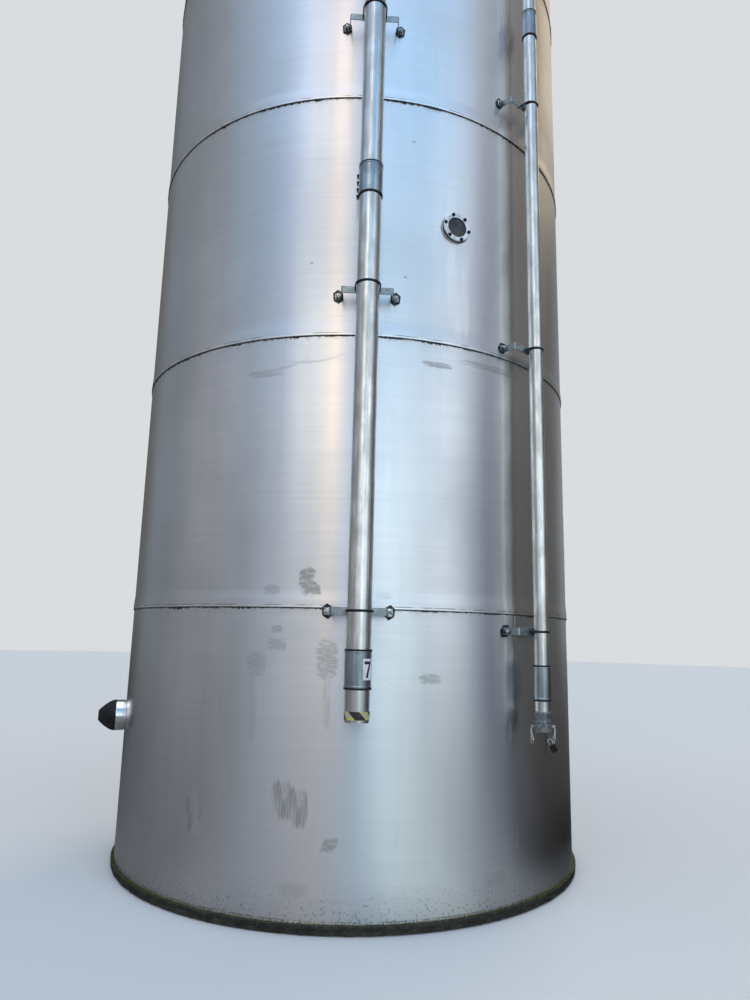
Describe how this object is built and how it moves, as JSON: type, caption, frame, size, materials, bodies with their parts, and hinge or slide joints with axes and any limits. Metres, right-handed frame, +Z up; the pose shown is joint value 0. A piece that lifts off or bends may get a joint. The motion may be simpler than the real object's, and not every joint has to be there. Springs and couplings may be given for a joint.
{
  "type": "storage silo",
  "caption": "Tall round aluminium storage silo with a low cone roof, a vent line and a capped fill line up its wall, a sight glass and a booted side outlet.",
  "frame": {"origin": "centre of the mortar bed's underside, on the floor under the middle of the shell", "axes": "+Z up along the shell's axis; -Y is the front, with the vent line; +X is the right side seen from the front"},
  "size_m": [3.8092, 3.9487, 11.7162],
  "materials": {
    "shell_aluminium": "mill-finish sheet with a fine level grain, weathered",
    "roof_aluminium": "dull mill-finish sheet",
    "pipe_aluminium": "drawn tube, half bright",
    "galvanised_steel": "mottled hot-dip galvanised",
    "cast_grey": "rough sand cast, weathered",
    "adapter_grey": "dark, oxidised",
    "arm_steel": "worn stainless",
    "lock_black": "satin black",
    "rubber": "matt black",
    "mortar": "pebbly, damp",
    "pane_glass": "dusty from inside"
  },
  "bodies": {
    "silo": {"mortar_bed": "mortar", "base_plate": "shell_aluminium", "shell_course_1": "shell_aluminium", "shell_course_2": "shell_aluminium", "shell_course_3": "shell_aluminium", "shell_course_4": "shell_aluminium", "shell_course_5": "shell_aluminium", "shell_course_6": "shell_aluminium", "roof_cone": "roof_aluminium", "roof_hatch_neck": "roof_aluminium", "roof_hatch_cover": "roof_aluminium", "vent_pipe_end": "pipe_aluminium", "vent_pipe_lower": "pipe_aluminium", "vent_pipe_upper": "pipe_aluminium", "vent_elbow_rise": "pipe_aluminium", "vent_elbow_fall": "pipe_aluminium", "vent_coupling_1": "galvanised_steel", "vent_coupling_2": "galvanised_steel", "vent_bracket_1": "galvanised_steel", "vent_bracket_2": "galvanised_steel", "vent_bracket_3": "galvanised_steel", "vent_bracket_4": "galvanised_steel", "vent_bracket_5": "galvanised_steel", "fill_pipe_end": "pipe_aluminium", "fill_pipe_lower": "pipe_aluminium", "fill_pipe_upper": "pipe_aluminium", "fill_elbow_rise": "pipe_aluminium", "fill_elbow_fall": "pipe_aluminium", "fill_coupling_1": "galvanised_steel", "fill_coupling_2": "galvanised_steel", "fill_bracket_1": "galvanised_steel", "fill_bracket_2": "galvanised_steel", "fill_bracket_3": "galvanised_steel", "fill_bracket_4": "galvanised_steel", "fill_bracket_5": "galvanised_steel", "fill_adapter": "adapter_grey", "fill_cap": "cast_grey", "padlock": "lock_black", "sight_glass_flange": "shell_aluminium", "sight_glass_pane": "pane_glass", "outlet_neck": "shell_aluminium", "outlet_boot": "rubber", "outlet_clamp": "pipe_aluminium"},
    "cam_arm_left": {"cam_arm_left": "arm_steel"},
    "cam_arm_right": {"cam_arm_right": "arm_steel"}
  },
  "joints": [
    {"name": "left_arm_pivot", "type": "hinge", "parent": "silo", "child": "cam_arm_left", "pos_m": [1.21961, -1.49281, 1.168], "axis": [0, 1, 0], "range_deg": [0, 100]},
    {"name": "right_arm_pivot", "type": "hinge", "parent": "silo", "child": "cam_arm_right", "pos_m": [1.36661, -1.49281, 1.168], "axis": [0, -1, 0], "range_deg": [0, 100]}
  ]
}
